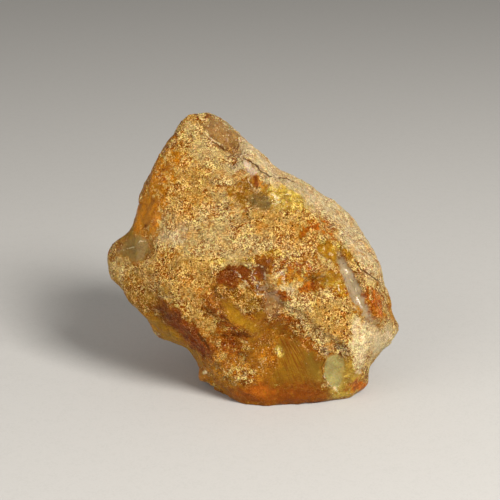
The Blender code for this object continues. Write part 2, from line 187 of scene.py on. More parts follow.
PATCHES = (
    # the broad pale face and the flank to its left
    Patch("broad_face", (-3.0, 4.5), (11.0, 9.0), 30, Tint.ORANGE, 0.93, Tint.CREAM, edge=0.6, speck=0.8),
    Patch("face_pale", (-4.5, 3.0), (6.0, 2.0), -8, Tint.TAN, 1.0, Tint.CREAM, speck=0.45),
    Patch("face_grey", (-11.2, 3.6), (2.6, 1.3), 40, Tint.TAN, 1.0, Tint.PALE, speck=0.35),
    Patch("face_dotted", (-1.2, 6.8), (3.6, 2.2), 0, Tint.ORANGE, 0.95, Tint.CREAM, speck=1.0),
    Patch("face_right", (1.8, 6.2), (3.6, 2.6), 0, Tint.ORANGE, 0.9, Tint.WHEAT, speck=1.0),
    Patch("face_far", (6.6, 4.6), (3.4, 2.8), -20, Tint.ORANGE, 0.85, Tint.WHEAT, speck=1.0),
    Patch("face_warm", (-8.6, 9.6), (4.0, 3.0), 60, Tint.ORANGE, 0.85, Tint.WHEAT, speck=0.9),
    Patch("face_below", (-9.0, -2.4), (7.5, 3.4), -25, Tint.ORANGE, 0.88, Tint.WHEAT, edge=0.7, speck=1.0),
    Patch("face_high", (-8.8, 13.0), (4.2, 5.0), -15, Tint.ORANGE, 0.82, Tint.WHEAT, edge=0.7, speck=0.7),
    Patch("face_crown", (-6.4, 15.4), (2.6, 2.0), -50, Tint.TAN, 0.97, Tint.CREAM),
    Patch("left_flank", (-14.4, 9.4), (2.4, 8.6), -20, Tint.ORANGE, 0.42, Tint.WHEAT, 0.1, speck=0.3,
          grain=0.8),
    Patch("flank_amber", (-15.4, 6.8), (1.8, 2.6), -15, Tint.ORANGE, 0.1, Tint.TAN, 0.2, speck=0.1,
          grain=0.4),
    # the peak
    Patch("peak_top", (-8.4, 19.4), (2.4, 1.6), 20, Tint.RUST, 0.75, Tint.TAN, speck=0.5),
    Patch("peak_pale", (-8.6, 18.4), (1.0, 1.3), 20, Tint.YELLOW, 0.8, Tint.CREAM, 0.1, speck=0.1),
    Patch("peak_smear", (-7.2, 20.3), (1.1, 0.35), 15, Tint.RUST, 0.2, Tint.TAN, 0.2, speck=0.1),
    Patch("band_top", (-2.7, 18.4), (4.2, 0.9), -46, Tint.TAN, 0.97, Tint.STONE, speck=0.3, grain=0.7),
    Patch("band_by_peak", (0.2, 14.9), (4.6, 1.7), -47, Tint.TAN, 0.98, Tint.PALE, speck=0.35, grain=0.6),
    Patch("peak_scar", (-4.5, 17.6), (2.9, 1.6), -47, Tint.MAUVE, 0.12, Tint.PALE, 0.08, 0.08, edge=0.15,
          ragged=0.12, speck=0.0, glint=0.3, grain=0.5, rugged=0.6),
    Patch("scar_foot", (-3.0, 15.5), (1.0, 0.5), -30, Tint.RED_BROWN, 0.5, Tint.TAN, speck=0.8),
    Patch("peak_crumbs", (-2.4, 13.6), (1.2, 1.6), 0, Tint.MAUVE, 0.7, Tint.PALE, speck=1.0, glint=0.5),
    # the band along the right-hand shoulder
    Patch("band_shoulder", (7.4, 9.6), (7.8, 2.3), -31, Tint.TAN, 0.98, Tint.PALE, speck=0.35, grain=0.6),
    Patch("band_right", (14.4, 3.6), (6.4, 2.1), -58, Tint.ORANGE, 0.95, Tint.PALE, speck=0.6, grain=0.65),
    Patch("band_green", (11.8, 4.4), (2.0, 0.7), -50, Tint.GREY_OLIVE, 0.6, Tint.CHALK, 0.3, glint=0.7),
    # the pit below the peak, and the golden break beside it
    Patch("streak_by_crack", (-0.5, 13.0), (1.6, 0.5), -57, Tint.PEARL, 0.05, Tint.PEARL, 0.5, edge=0.5,
          grain=0.1, speck=0.0, ragged=0.15),
    Patch("pit_brown", (-1.5, 9.8), (1.8, 2.1), 0, Tint.HONEY, 0.4, Tint.TAN, 0.1, edge=1.2, ragged=0.2,
          grain=0.6),
    Patch("pit_orange", (1.6, 9.8), (0.8, 1.8), 30, Tint.MARIGOLD, 0.2, Tint.YELLOW, 0.3, ragged=0.3,
          grain=0.6),
    Patch("golden_scar", (4.8, 8.6), (3.2, 1.5), -22, Tint.STRAW, 0.6, Tint.YELLOW, 0.3, speck=0.2,
          glint=0.7, grain=0.7, rugged=1.3),
    Patch("golden_light", (2.6, 8.6), (0.9, 0.6), -20, Tint.YELLOW, 0.5, Tint.CHALK, 0.5, glint=1.0),
    Patch("pit", (0.5, 8.8), (1.8, 1.1), -35, Tint.GREY_OLIVE, 0.1, Tint.PALE, 0.3, 0.03, ragged=0.12,
          grain=0.5, speck=0.1, glint=0.6),
    Patch("pit_slit", (0.3, 11.1), (0.28, 0.95), 8, Tint.RED_BROWN, 0.0, None, 0.1, 0.08, edge=0.5,
          ragged=0.1, grain=0.3),
    # the plateau on the right
    Patch("right_plateau", (8.6, -7.6), (7.6, 4.0), -42, Tint.ORANGE, 0.92, Tint.CREAM, edge=0.35,
          speck=0.9, calm=0.4),
    Patch("plateau_pale", (5.6, -5.4), (3.0, 1.6), -38, Tint.TAN, 1.0, Tint.CREAM, speck=0.7, calm=0.6),
    Patch("plateau_right", (11.2, -8.4), (3.8, 2.4), -50, Tint.ORANGE, 0.88, Tint.WHEAT, speck=1.0,
          calm=0.4),
    Patch("plateau_top", (4.8, -4.0), (1.6, 0.7), -15, Tint.TAN, 1.0, Tint.PALE, edge=0.7, speck=0.5),
    # step_light is painted light: a paler rind along the step, where its lower wall falls in shade
    Patch("step_light", (7.6, -9.1), (5.6, 0.5), -36, Tint.TAN, 0.9, Tint.CREAM, edge=1.6, ragged=0.3,
          speck=0.9, calm=0.8),
    # the right of the face, and the hollows in the plateau
    Patch("rust_upper", (9.0, 5.2), (2.6, 1.2), -25, Tint.FLAME, 0.55, Tint.WHEAT, edge=1.2, ragged=0.2,
          rugged=1.5),
    Patch("rust_spot", (7.2, 4.2), (1.0, 0.5), 30, Tint.EMBER, 0.2, Tint.TAN, grain=0.8),
    Patch("rust_dot", (5.4, 3.6), (0.45, 0.3), 30, Tint.RUST, 0.1, Tint.TAN),
    Patch("gold_corner", (3.2, 1.0), (1.5, 0.6), 5, Tint.GOLD, 0.5, Tint.YELLOW, 0.1),
    Patch("notch_rim", (0.8, 0.4), (4.6, 0.4), 3, Tint.GOLD, 0.6, Tint.YELLOW, 0.1, edge=1.2, ragged=0.3,
          glint=0.4),
    Patch("rust_band", (5.4, -0.6), (3.8, 1.0), -12, Tint.EMBER, 0.45, Tint.WHEAT, 0.1, glint=0.4,
          rugged=1.6),
    Patch("pale_glint", (3.7, -1.7), (0.9, 0.5), 35, Tint.GREY_OLIVE, 0.75, Tint.CHALK, 0.3, ragged=0.12,
          glint=0.9),
    Patch("rust_middle", (8.2, -3.3), (2.2, 1.25), 15, Tint.MARIGOLD, 0.3, Tint.WHEAT, 0.2, ragged=0.2,
          glint=0.4, rugged=1.5),
    Patch("amber_left", (5.0, -2.3), (1.8, 0.9), 8, Tint.MARIGOLD, 0.42, Tint.YELLOW, 0.2, edge=1.0,
          ragged=0.25, glint=0.4, rugged=1.4),
    Patch("rust_heart", (7.4, -3.5), (1.1, 0.6), 15, Tint.FLAME, 0.15, Tint.TAN, 0.2),
    Patch("rust_hook", (4.4, -5.0), (0.8, 0.3), -20, Tint.EMBER, 0.2, Tint.WHEAT, 0.1, ragged=0.4),
    Patch("gold_middle", (11.4, -3.0), (1.8, 1.3), -20, Tint.GOLD, 0.3, Tint.YELLOW, 0.3, edge=0.6,
          glint=0.3, grain=0.5, rugged=1.2),
    Patch("gold_edge", (10.9, 1.0), (1.7, 1.0), -45, Tint.GOLD, 0.25, Tint.YELLOW, 0.2, grain=0.6),
    Patch("gold_arc", (13.2, 1.0), (1.7, 0.5), -48, Tint.GOLD, 0.3, Tint.YELLOW, 0.2, glint=0.5),
    # below the face: a greenish band, a smooth yellow one, and the rough belly
    Patch("olive_band", (-2.0, -4.8), (4.2, 1.5), -22, Tint.OLIVE, 0.6, Tint.TAN, speck=0.9),
    Patch("belly", (-3.2, -11.6), (8.0, 5.6), -40, Tint.EMBER, 0.34, Tint.TAN, 0.1, speck=0.8, glint=0.4,
          rugged=1.8),
    Patch("belly_right", (-0.6, -12.6), (3.0, 2.2), -30, Tint.ORANGE, 0.45, Tint.WHEAT, 0.1, speck=0.7,
          glint=0.5, rugged=1.8),
    Patch("belly_rust", (-3.4, -11.2), (3.0, 1.1), -35, Tint.EMBER, 0.25, Tint.TAN, ragged=0.35,
          rugged=2.0),
    Patch("belly_high", (-8.0, -8.0), (3.6, 1.8), -42, Tint.ORANGE, 0.7, Tint.WHEAT, edge=0.8, speck=1.0,
          rugged=1.6),
    Patch("yellow_belly", (-1.5, -8.3), (4.2, 1.15), -40, Tint.GOLD, 0.1, Tint.TAN, 0.2, edge=1.0,
          ragged=0.15, speck=0.3, grain=0.35, rugged=0.4, calm=0.9),
    Patch("yellow_dull", (-0.6, -6.4), (2.6, 0.8), -30, Tint.GOLD, 0.55, Tint.TAN, 0.1, speck=0.7,
          calm=0.6),
    Patch("gold_over_belly", (0.9, -10.8), (0.9, 0.35), -50, Tint.YELLOW, 0.5, Tint.CHALK, 0.4, glint=1.0),
    # the dark notch and the glossy chips below it
    Patch("notch_left", (-3.2, -2.0), (2.1, 1.25), -12, Tint.RED_BROWN, 0.18, Tint.WHEAT, 0.1, 0.05,
          edge=0.4, ragged=0.14),
    Patch("notch_middle", (-1.4, -1.8), (2.3, 1.3), -10, Tint.RED_BROWN, 0.18, Tint.WHEAT, 0.1, 0.05,
          edge=0.4, ragged=0.14),
    Patch("notch_link", (-0.3, -2.4), (1.0, 1.4), 15, Tint.RED_BROWN, 0.3, Tint.WHEAT, 0.1, edge=0.7,
          ragged=0.2),
    Patch("notch_foot", (0.5, -3.4), (0.5, 0.8), 0, Tint.DARK_BROWN, 0.1, Tint.LILAC, 0.2, edge=0.6),
    Patch("notch_right", (0.8, -1.7), (0.95, 1.4), 0, Tint.RED_BROWN, 0.1, Tint.TAN, 0.15, 0.06, edge=0.5,
          ragged=0.18, glint=0.3),
    Patch("notch_rust", (2.3, -0.6), (0.9, 1.0), 60, Tint.RUST, 0.15, Tint.TAN, 0.1, ragged=0.2),
    Patch("notch_gloss", (1.2, -3.7), (0.8, 0.6), 10, Tint.LILAC, 0.05, Tint.PEARL, 0.4, edge=0.6,
          grain=0.4, speck=0.1, ragged=0.3),
    Patch("lilac_chip", (2.4, -5.6), (0.8, 0.9), 20, Tint.LILAC, 0.0, Tint.PEARL, 0.4, edge=0.6, grain=0.3,
          speck=0.1, ragged=0.25),
    Patch("lilac_join", (1.9, -4.4), (0.9, 0.3), -50, Tint.LILAC, 0.2, Tint.TAN, 0.1),
    Patch("mauve_corner", (2.8, -7.0), (1.9, 0.9), -58, Tint.MAUVE, 0.14, Tint.LILAC, 0.25, 0.04, edge=0.7,
          speck=0.5, glint=0.4, grain=0.5, calm=0.8),
    Patch("mauve_tail", (4.4, -8.0), (2.0, 0.35), -42, Tint.MAUVE, 0.5, Tint.LILAC, 0.1, speck=0.8,
          calm=0.8),
    Patch("mauve_dark", (3.2, -8.4), (1.3, 0.7), -22, Tint.RED_BROWN, 0.25, Tint.TAN, 0.1, edge=0.7,
          ragged=0.35, calm=0.9),
    # the smooth scoop at the foot, and the rough lip above it
    Patch("scoop", (4.6, -13.8), (6.2, 4.3), -42, Tint.HONEY, 0.0, Tint.TAN, 0.1, edge=0.5, speck=0.05,
          streak=0.5, glint=0.0, grain=0.3, rugged=0.25, calm=1.0),
    Patch("scoop_crumbs", (1.6, -13.0), (2.2, 3.2), -20, Tint.ORANGE, 0.35, Tint.TAN, 0.1, edge=1.3,
          streak=0.4, glint=0.4, grain=0.8, rugged=0.8, calm=0.7),
    Patch("scoop_olive", (7.6, -13.4), (3.6, 1.3), -62, Tint.OLIVE, 0.0, None, 0.1, speck=0.0, streak=0.3,
          grain=0.15, rugged=0.2, calm=1.0),
    Patch("scoop_lines", (4.8, -12.4), (3.4, 1.4), -60, Tint.HONEY, 0.0, None, 0.1, edge=1.0, speck=0.0,
          streak=1.0, grain=0.3, rugged=0.3, calm=1.0),
    Patch("scoop_light", (3.6, -12.6), (0.4, 0.9), 25, Tint.YELLOW, 0.5, Tint.YELLOW, 0.3, ragged=0.12,
          glint=0.8),
    Patch("lip", (7.0, -10.5), (3.8, 0.8), -42, Tint.EMBER, 0.42, Tint.TAN, ragged=0.3, speck=1.0,
          rugged=1.4, calm=0.7),
    Patch("lip_crumbs", (9.6, -12.2), (1.0, 0.5), -20, Tint.GREY_OLIVE, 0.5, Tint.PALE, 0.2, ragged=0.4,
          glint=0.7, calm=0.5),
    # the foot
    Patch("foot_left", (-4.0, -16.0), (4.0, 3.0), -30, Tint.MARIGOLD, 0.38, Tint.WHEAT, 0.1, glint=0.4,
          rugged=2.0),
    Patch("foot_olive", (-3.6, -14.2), (0.5, 1.4), 5, Tint.ORANGE, 0.75, Tint.CREAM, 0.1, ragged=0.3),
    Patch("foot_cream", (-1.7, -16.3), (1.6, 0.5), 28, Tint.ORANGE, 0.85, Tint.CREAM, ragged=0.3, speck=0.6,
          rugged=2.0),
    Patch("foot_amber", (4.0, -18.6), (9.0, 1.7), 0, Tint.AMBER, 0.0, Tint.GOLD, 0.1, edge=1.2, speck=0.1,
          glint=0.0, grain=0.35, calm=0.5),
    Patch("foot_ember", (1.2, -18.2), (2.6, 0.8), 0, Tint.EMBER, 0.0, Tint.GOLD, 0.1, edge=1.3, glint=0.0,
          grain=0.35),
    Patch("foot_knob", (-7.0, -15.6), (1.2, 1.2), 0, Tint.ORANGE, 0.1, Tint.GOLD, 0.3, glint=0.3,
          grain=0.5),
    Patch("foot_glint", (-6.9, -15.5), (0.35, 0.3), 0, Tint.CHALK, 1.0, Tint.CHALK, 0.5, edge=0.5,
          ragged=0.05, grain=0.1),
    # the clear oval, the toe and the glittering seam above them
    Patch("toe_clear", (13.0, -16.6), (2.6, 2.8), 15, Tint.YELLOW, 0.12, Tint.YELLOW, 0.3, speck=0.2,
          glint=0.5, grain=0.5),
    Patch("oval_window", (11.3, -15.2), (1.5, 2.55), -4, Tint.GREEN_GOLD, 0.0, None, 0.5, 0.08, edge=0.3,
          ragged=0.05, speck=0.0, glint=0.0, grain=0.15, rugged=0.15),
    Patch("oval_top", (12.4, -12.6), (1.5, 0.7), -25, Tint.OLIVE, 0.7, Tint.CREAM, 0.1, edge=1.2,
          ragged=0.3, glint=0.5),
    Patch("toe_yellow", (13.9, -15.9), (1.6, 2.6), 5, Tint.STRAW, 0.1, Tint.YELLOW, 0.2, ragged=0.15,
          speck=0.1, glint=0.3, grain=0.4),
    Patch("toe_spark", (13.0, -15.9), (0.45, 0.2), 35, Tint.YELLOW, 0.0, Tint.CHALK, 0.4, edge=0.6,
          ragged=0.06, glint=0.8, grain=0.0),
    Patch("oval_glint", (11.4, -17.7), (0.45, 0.22), -50, Tint.CHALK, 0.0, Tint.CHALK, 0.4, edge=0.4,
          ragged=0.06, glint=0.6, grain=0.0),
    Patch("toe_rust", (14.6, -17.2), (1.2, 1.0), 30, Tint.FLAME, 0.05, Tint.TAN, 0.1, edge=0.8, ragged=0.15,
          grain=0.7),
    Patch("toe_glint", (14.7, -15.4), (0.5, 0.26), -15, Tint.CHALK, 0.0, Tint.CHALK, 0.4, edge=0.4,
          ragged=0.06, glint=0.6, grain=0.0),
    Patch("right_side", (16.8, -10.8), (3.8, 1.6), -62, Tint.STONE, 1.0, Tint.PALE, 0.1, speck=0.2,
          glint=0.15, grain=0.5),
    # seam_yellow and gold_seam: their bright yellow and chalk are partly a painted highlight along a
    # rounded edge
    Patch("seam_yellow", (13.9, -10.2), (3.2, 0.35), -88, Tint.GOLD, 0.3, Tint.YELLOW, 0.3),
    Patch("gold_seam", (14.7, -11.4), (3.8, 1.1), -86, Tint.STRAW, 0.92, Tint.CHALK, 0.3, edge=0.8,
          ragged=0.2, speck=0.3, glint=0.8, grain=0.7, rugged=1.4),
    # the groove, its pale ash grey partly a painted reflection on its glossy face, and the rim to its right
    Patch("groove", (13.9, -3.4), (4.7, 0.85), -65, Tint.ASH, 0.0, None, 0.45, 0.1, edge=0.3, ragged=0.1,
          speck=0.0, grain=0.15, rugged=0.3),
    Patch("groove_low", (15.6, -6.9), (1.9, 0.8), -75, Tint.ASH, 0.2, Tint.STONE, 0.3, edge=0.5, speck=0.1,
          grain=0.4, rugged=0.6),
    Patch("rust_right", (16.9, -5.8), (1.0, 1.7), 15, Tint.FLAME, 0.3, Tint.TAN, 0.1),
    Patch("right_knob", (18.8, -10.6), (1.0, 1.6), 10, Tint.YELLOW, 0.8, Tint.PALE, 0.2, edge=0.6,
          speck=0.1, grain=0.5),
    # the face at the lower left, its dark umber partly a painted shade where it faces down, and the knob
    Patch("dark_face", (-11.2, -8.2), (3.6, 1.2), -45, Tint.UMBER, 0.25, Tint.OLIVE, 0.1, edge=0.8,
          ragged=0.3, speck=0.5, rugged=1.6),
    Patch("dark_low", (-8.4, -11.0), (2.6, 1.3), -52, Tint.UMBER, 0.2, Tint.OLIVE, 0.1, edge=0.8,
          ragged=0.3, speck=0.5, rugged=1.4),
    Patch("dark_face_rust", (-13.2, -6.4), (1.6, 0.8), -30, Tint.RUST, 0.2, Tint.TAN, 0.1),
    Patch("left_rim", (-11.6, -10.6), (5.2, 1.0), -42, Tint.GOLD, 0.1, Tint.GOLD, 0.2, grain=0.4),
    Patch("knob_window", (-16.9, 1.8), (2.4, 2.1), 10, Tint.GREY_OLIVE, 0.1, Tint.WHEAT, 0.3, ragged=0.15,
          speck=0.05, glint=0.0, grain=0.3, rugged=0.3),
    Patch("knob_top", (-18.0, 4.0), (1.6, 0.8), 35, Tint.OLIVE, 0.1, Tint.TAN, grain=0.4),
    Patch("knob_tip", (-18.6, -1.4), (2.4, 1.5), -35, Tint.ORANGE, 0.95, Tint.CREAM, speck=0.2, grain=0.8),
    Patch("knob_low", (-16.6, -3.6), (3.0, 1.8), -50, Tint.ORANGE, 0.7, Tint.TAN, edge=0.7, speck=0.5),
    # the back
    Patch("back_break", (6.0, -4.0), (6.0, 4.0), 25, Tint.HONEY, 0.06, Tint.GOLD, 0.5, 0.12, streak=1.0,
          grain=0.3, rugged=0.4, side=Side.BACK),
    Patch("back_stain", (-8.0, 6.0), (4.6, 7.0), -20, Tint.ORANGE, 0.3, Tint.TAN, 0.1, side=Side.BACK),
    Patch("back_pale", (2.0, 9.0), (6.0, 4.0), -35, Tint.TAN, 0.95, Tint.PALE, side=Side.BACK),
    Patch("back_window", (-6.0, -7.0), (3.2, 1.8), -30, Tint.OLIVE, 0.03, Tint.GOLD, 0.6, 0.12, grain=0.2,
          rugged=0.3, side=Side.BACK),
    Patch("back_foot", (2.0, -15.0), (10.0, 3.0), 0, Tint.AMBER, 0.2, Tint.TAN, 0.3, rugged=1.6,
          side=Side.BACK),
    Patch("back_rust", (12.0, 3.0), (3.0, 1.8), 40, Tint.RUST, 0.3, Tint.TAN, 0.1, side=Side.BACK),
)


@dataclass(frozen=True)
class Hairline:
    """A fine line on the front, dark where the skin is cracked, pale where a break has a thin lip. A pale
    one is partly a painted highlight along the break's edge.

    It runs through its points across and up, and its width is half of its whole width. All is in
    millimetres.
    """

    points: tuple[tuple[float, float], ...]
    pale: bool = False
    width: float = 0.13


HAIRLINES = (
    Hairline(((-1.4, 14.5), (-0.4, 14.0), (0.4, 13.4), (0.8, 12.8), (2.2, 12.0))),
    Hairline(((3.6, 11.8), (4.6, 11.7), (5.5, 11.2)), width=0.1),
    Hairline(((14.2, 0.2), (15.0, -1.0), (17.2, -2.5))),
    Hairline(((-3.9, -8.0), (-2.6, -9.2), (-0.5, -10.4)), width=0.06),
    Hairline(((9.9, -13.6), (9.55, -14.6), (9.55, -15.6), (9.9, -16.4)), width=0.06),
    Hairline(((-7.6, -10.4), (-6.4, -11.9)), width=0.25),
    Hairline(((-5.4, 16.7), (-4.4, 15.9))),
    # the pale lines: lips of breaks, partly painted highlights along their edges
    Hairline(((-7.3, 18.6), (-6.0, 17.3), (-4.2, 16.1)), True, 0.16),
    Hairline(((-0.8, 11.5), (-0.1, 10.1)), True, 0.1),
    Hairline(((-18.2, 1.7), (-16.6, 2.2), (-15.9, 2.9), (-15.0, 2.8)), True, 0.08),
    Hairline(((13.0, -1.5), (14.3, -4.0)), True, 0.1),
    Hairline(((-3.2, -1.1), (-2.6, -1.4), (-1.8, -2.1), (-0.9, -3.1)), True, 0.2),
    Hairline(((1.2, -0.9), (1.5, -2.0), (1.9, -3.3)), True, 0.22),
    Hairline(((-0.2, -1.1), (-0.3, -1.8), (0.3, -2.6), (0.8, -3.0)), True, 0.11),
    Hairline(((9.75, -15.6), (10.0, -16.4), (11.0, -17.6)), True, 0.1),
)


def eased(share: np.ndarray) -> np.ndarray:
    """A share from 0 to 1, with its ends eased."""
    share = np.clip(share, 0.0, 1.0)
    return share * share * (3.0 - 2.0 * share)


def noise_at(places: np.ndarray, scale: float, shift: float, octaves: int) -> np.ndarray:
    """Fractal noise round zero at each place: so many features per millimetre, moved by the shift."""
    moved = places * scale + shift
    return np.array([noise.fractal(Vector(place), NOISE_FADING, 2.0, octaves) for place in moved])


def facets_at(places: np.ndarray, scale: float, shift: float) -> np.ndarray:
    """Small flat facets that meet at crisp edges, as where the resin splintered.

    Args:
        places: places in millimetres.
        scale: facets per millimetre.
        shift: moves the pattern, so that two calls differ.

    Returns:
        A height for each place, mostly between -0.5 and 0.5, tilted its own way on each facet.
    """
    heights = np.empty(len(places))
    for index, moved in enumerate(places * scale + shift):
        place = Vector(moved)
        middle = noise.voronoi(place)[1][0]
        slope = Vector([noise.noise(middle * FACET_TILT_SCALE + apart) for apart in UNLIKE])
        step = noise.noise(middle * FACET_STEP_SCALE)
        heights[index] = FACET_TILT * slope.dot(place - middle) + FACET_STEP * step
    return heights


@dataclass
class Skin:
    """The stone's fine skin: places, normals and neighbours of its points, in millimetres."""

    places: np.ndarray
    normals: np.ndarray
    edges: np.ndarray
    seen: np.ndarray = field(init=False)
    seen_normals: np.ndarray = field(init=False)

    def __post_init__(self) -> None:
        """Works out where each place is seen across and up, and turns the normals the same way."""
        c, s = cos(VIEW_TILT), sin(VIEW_TILT)
        turn = np.array(((1.0, 0.0, 0.0), (0.0, s, c), (0.0, -c, s)))
        eye = np.array(EYE)
        from_eye = (self.places - np.array(STONE_MIDDLE)) @ turn.T - eye
        self.seen = eye[:2] + from_eye[:, :2] * (EYE[2] / -from_eye[:, 2])[:, None]
        self.seen_normals = self.normals @ turn.T

    def spread(self, values: np.ndarray, rounds: int) -> np.ndarray:
        """Values averaged with their neighbours'.

        Args:
            values: a value, or a row of them, for each point.
            rounds: how many times each takes half of its neighbours' mean.

        Returns:
            The rows of averaged values.
        """
        first, second = self.edges[:, 0], self.edges[:, 1]
        count = np.bincount(self.edges.ravel(), minlength=len(self.places))
        values = values.reshape(len(self.places), -1)
        for _ in range(rounds):
            total = np.empty_like(values)
            for column in range(values.shape[1]):
                one = np.bincount(first, values[second, column], len(values))
                other = np.bincount(second, values[first, column], len(values))
                total[:, column] = one + other
            values = 0.5 * values + 0.5 * total / count[:, None]
        return values

    def hollowness(self, rounds: int) -> np.ndarray:
        """How far each point lies below the skin round it, in millimetres: below zero on ridges."""
        return ((self.spread(self.places, rounds) - self.places) * self.normals).sum(axis=1)

    def inside(self, patch: Patch, rough: np.ndarray) -> np.ndarray:
        """How far inside a patch each point lies.

        Args:
            patch: the patch.
            rough: a noise for each point, which makes the patch's edge ragged.

        Returns:
            The depth of each point inside its edge, as a share of its radius: below zero outside.
        """
        turn = radians(patch.turn)
        away = self.seen - np.array(patch.place)
        ragged = patch.ragged * (RAGGED_FOR / sum(patch.radii)) ** 0.5
        along = (away[:, 0] * cos(turn) + away[:, 1] * sin(turn)) / patch.radii[0]
        across = (away[:, 1] * cos(turn) - away[:, 0] * sin(turn)) / patch.radii[1]
        return 1.0 + ragged * rough - np.hypot(along, across)

    def facing(self, side: Side) -> np.ndarray:
        """1 where the skin faces that way, 0 where it faces the other."""
        return eased((self.seen_normals[:, 2] * side.value + TURNED_AWAY) / TURNING)

    def under(self, patch: Patch, inside: np.ndarray) -> np.ndarray:
        """How much each point takes of a patch's look, from how far inside it lies."""
        return eased(inside / patch.edge + 0.5) * self.facing(patch.side)


@dataclass(frozen=True)
class Mottle:
    """Soft-edged spots, read from a noise.

    The noise has this many features per millimetre, and layers of finer ones, each this strong beside
    the last. A spot begins at one value of the noise, and is full at another.
    """

    per_mm: float
    layers: float
    strength: float
    begins: float
    full: float


class Wiring:
    """A node tree, with short ways to add nodes to it and join them."""

    def __init__(self, tree: bpy.types.NodeTree) -> None:
        """Keeps the tree."""
        self.tree = tree

    def add(self, kind: str, settings: dict[str, object] | None = None, **inputs: Given) -> bpy.types.Node:
        """Adds a node.

        Args:
            kind: the node's type, without the word that all of them begin with.
            settings: the node's own properties.
            **inputs: its inputs by name, with _ for a space, each a socket to join or a plain value.

        Returns:
            The new node.
        """
        node = self.tree.nodes.new("ShaderNode" + kind)
        for name, value in (settings or {}).items():
            setattr(node, name, value)
        for name, value in inputs.items():
            self.give(node.inputs[name.replace("_", " ")], value)
        return node

    def give(self, socket: bpy.types.NodeSocket, value: Given) -> None:
        """Joins a socket to an input, or sets its plain value.

        Args:
            socket: the input.
            value: what it gets.
        """
        if isinstance(value, bpy.types.NodeSocket):
            self.tree.links.new(value, socket)
        elif isinstance(value, Tint):
            socket.default_value = value.rgba()
        else:
            socket.default_value = value

    def math(self, operation: str, *values: Given, clamp: bool = False) -> bpy.types.NodeSocket:
        """Works out a sum on numbers.

        Args:
            operation: which sum.
            *values: its numbers, in order.
            clamp: whether the result is held between 0 and 1.

        Returns:
            The result.
        """
        node = self.tree.nodes.new("ShaderNodeMath")
        node.operation, node.use_clamp = operation, clamp
        for socket, value in zip(node.inputs, values):
            self.give(socket, value)
        return node.outputs[0]

    def product(self, first: Given, *others: Given) -> Given:
        """Multiplies numbers.

        Args:
            first: one of them.
            *others: the rest.

        Returns:
            All of them multiplied together.
        """
        result = first
        for other in others:
            result = self.math("MULTIPLY", result, other)
        return result

    def vector(self, operation: str, *values: Given) -> bpy.types.Node:
        """Works out a sum on vectors.

        Args:
            operation: which sum.
            *values: its vectors, in order.

        Returns:
            The node, whose first output is a vector. A length or a dot product is its output Value.
        """
        node = self.tree.nodes.new("ShaderNodeVectorMath")
        node.operation = operation
        for socket, value in zip(node.inputs, values):
            self.give(socket, value)
        return node

    def noise(self, place: Given, scale: Given, detail: float, rough: float) -> bpy.types.NodeSocket:
        """The value of a noise, round a half."""
        return self.add("TexNoise", Vector=place, Scale=scale, Detail=detail, Roughness=rough).outputs[0]

    def mottle(self, place: Given, spots: Mottle) -> bpy.types.NodeSocket:
        """How deep inside one of these spots the place is, from 0 to 1."""
        value = self.noise(place, spots.per_mm, spots.layers, spots.strength)
        return self.ramp(value, spots.begins, spots.full)

    def ramp(
        self, value: Given, low: Given, high: Given, start: Given = 0.0, end: Given = 1.0
    ) -> bpy.types.NodeSocket:
        """Turns a value smoothly into another range.

        Args:
            value: the value.
            low: what becomes the start.
            high: what becomes the end.
            start: the result at the low value and beyond it.
            end: the result at the high value and beyond it.

        Returns:
            The result.
        """
        node = self.tree.nodes.new("ShaderNodeMapRange")
        node.interpolation_type = "SMOOTHSTEP"
        for socket, item in zip(node.inputs, (value, low, high, start, end)):
            self.give(socket, item)
        return node.outputs[0]

    def mix(self, share: Given, first: Given, second: Given, way: str = "MIX") -> bpy.types.NodeSocket:
        """Mixes two colours.

        Args:
            share: how much of the second there is.
            first: one colour.
            second: the other.
            way: how they are blended.

        Returns:
            The mixed colour.
        """
        node = self.tree.nodes.new("ShaderNodeMix")
        node.data_type, node.blend_type = "RGBA", way
        self.give(node.inputs[0], share)
        self.give(node.inputs[6], first)
        self.give(node.inputs[7], second)
        return node.outputs[2]

    def grey(self, value: Given) -> bpy.types.NodeSocket:
        """The grey of this value."""
        return self.add("CombineColor", Red=value, Green=value, Blue=value).outputs[0]


def new_group(name: str, inputs: dict[str, float | None], outputs: tuple[str, ...]) -> bpy.types.NodeTree:
    """An empty shader node group.

    Args:
        name: the group's name.
        inputs: each input's name and first value, or None for a vector.
        outputs: the names of the values that it puts out.

    Returns:
        The group, with its sockets and its two end nodes.
    """
    group = bpy.data.node_groups.new(name, "ShaderNodeTree")
    for label, first in inputs.items():
        kind = "NodeSocketVector" if first is None else "NodeSocketFloat"
        socket = group.interface.new_socket(label, in_out="INPUT", socket_type=kind)
        if first is not None:
            socket.default_value = first
    for label in outputs:
        group.interface.new_socket(label, in_out="OUTPUT", socket_type="NodeSocketFloat")
    group.nodes.new("NodeGroupInput")
    group.nodes.new("NodeGroupOutput")
    return group


